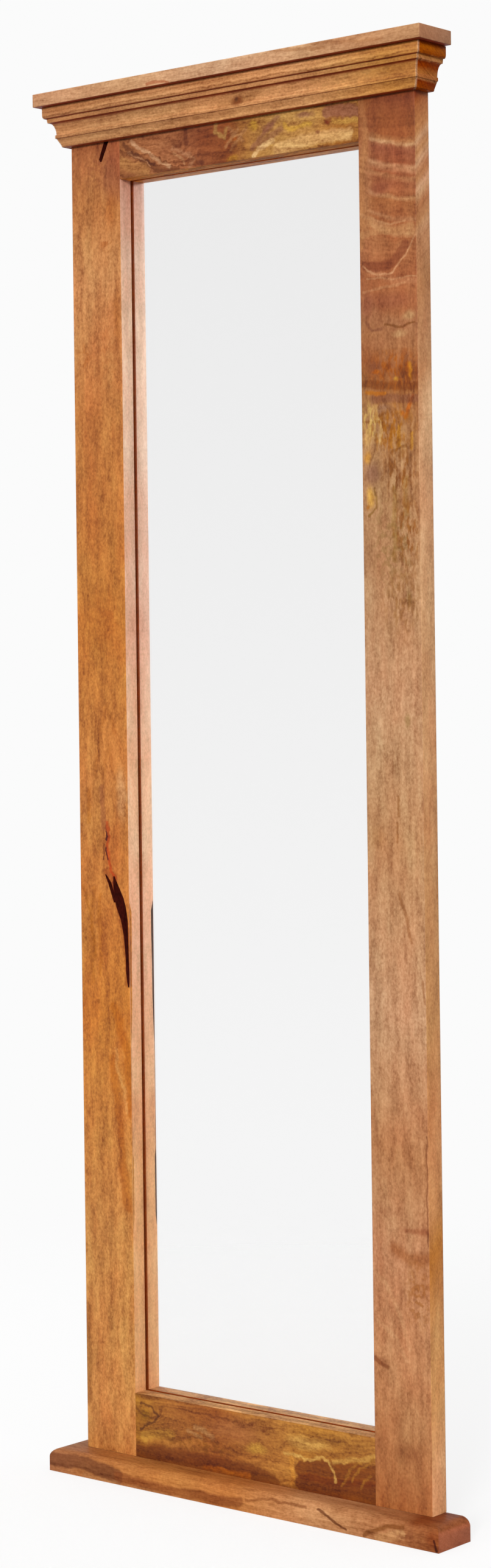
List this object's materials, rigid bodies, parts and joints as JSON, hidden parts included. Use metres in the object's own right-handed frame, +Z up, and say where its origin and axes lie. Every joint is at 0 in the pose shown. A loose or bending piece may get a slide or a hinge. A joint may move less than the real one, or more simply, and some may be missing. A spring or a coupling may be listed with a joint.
{
  "type": "full-length framed mirror",
  "caption": "Tall rectangular mirror in a solid wood frame with a moulded cornice, a cap board and a projecting base board, to stand against or hang on a wall.",
  "frame": {"origin": "centre of the part's outline seen from above, on the floor plane under the base board", "axes": "+X to the viewer's right, +Y to the back (towards the wall), +Z up"},
  "size_m": [0.63, 0.07, 1.8],
  "materials": {
    "mango_golden": "satin, oiled golden mango wood",
    "mango_red": "satin, oiled reddish mango wood with curl",
    "mango_figured": "satin, oiled spalted mango wood",
    "mango_pale": "satin, oiled pale mango wood",
    "hardboard": "matt brown hardboard",
    "mirror_silver": "polished float glass, silvered at the back",
    "zinc_steel": "bright zinc plate",
    "clear_rubber": "clear soft rubber"
  },
  "bodies": {
    "frame": {"left_stile": "mango_golden", "right_stile": "mango_red", "top_rail": "mango_figured", "bottom_rail": "mango_figured", "sill_board": "mango_golden", "cap_board": "mango_pale", "cornice_front": "mango_pale", "cornice_left_return": "mango_pale", "cornice_right_return": "mango_pale", "mirror_glass": "mirror_silver", "back_panel": "hardboard", "panel_screw_01": "zinc_steel", "panel_screw_02": "zinc_steel", "panel_screw_03": "zinc_steel", "panel_screw_04": "zinc_steel", "panel_screw_05": "zinc_steel", "panel_screw_06": "zinc_steel", "panel_screw_07": "zinc_steel", "panel_screw_08": "zinc_steel", "panel_screw_09": "zinc_steel", "panel_screw_10": "zinc_steel", "panel_screw_11": "zinc_steel", "panel_screw_12": "zinc_steel", "sill_screw_1": "zinc_steel", "sill_screw_2": "zinc_steel", "sill_screw_3": "zinc_steel", "sill_screw_4": "zinc_steel", "sill_screw_5": "zinc_steel", "cap_screw_1": "zinc_steel", "cap_screw_2": "zinc_steel", "cap_screw_3": "zinc_steel", "cap_screw_4": "zinc_steel", "cap_screw_5": "zinc_steel", "cornice_screw_1": "zinc_steel", "cornice_screw_2": "zinc_steel", "cornice_screw_3": "zinc_steel", "cornice_screw_4": "zinc_steel", "cap_plug_1": "mango_pale", "cap_plug_2": "mango_pale", "cap_plug_3": "mango_pale", "cap_plug_4": "mango_pale", "cap_plug_5": "mango_pale", "left_hanger_strap": "zinc_steel", "right_hanger_strap": "zinc_steel", "left_hanger_screw_1": "zinc_steel", "left_hanger_screw_2": "zinc_steel", "right_hanger_screw_1": "zinc_steel", "right_hanger_screw_2": "zinc_steel", "left_wall_bumper": "clear_rubber", "right_wall_bumper": "clear_rubber"},
    "left_ring": {"left_hanger_ring": "zinc_steel"},
    "right_ring": {"right_hanger_ring": "zinc_steel"}
  },
  "joints": [
    {"name": "left_ring_swing", "type": "hinge", "parent": "frame", "child": "left_ring", "pos_m": [-0.2485, 0.032, 1.55], "axis": [1, 0, 0], "range_deg": [0, 180]},
    {"name": "right_ring_swing", "type": "hinge", "parent": "frame", "child": "right_ring", "pos_m": [0.2485, 0.032, 1.55], "axis": [1, 0, 0], "range_deg": [0, 180]}
  ]
}
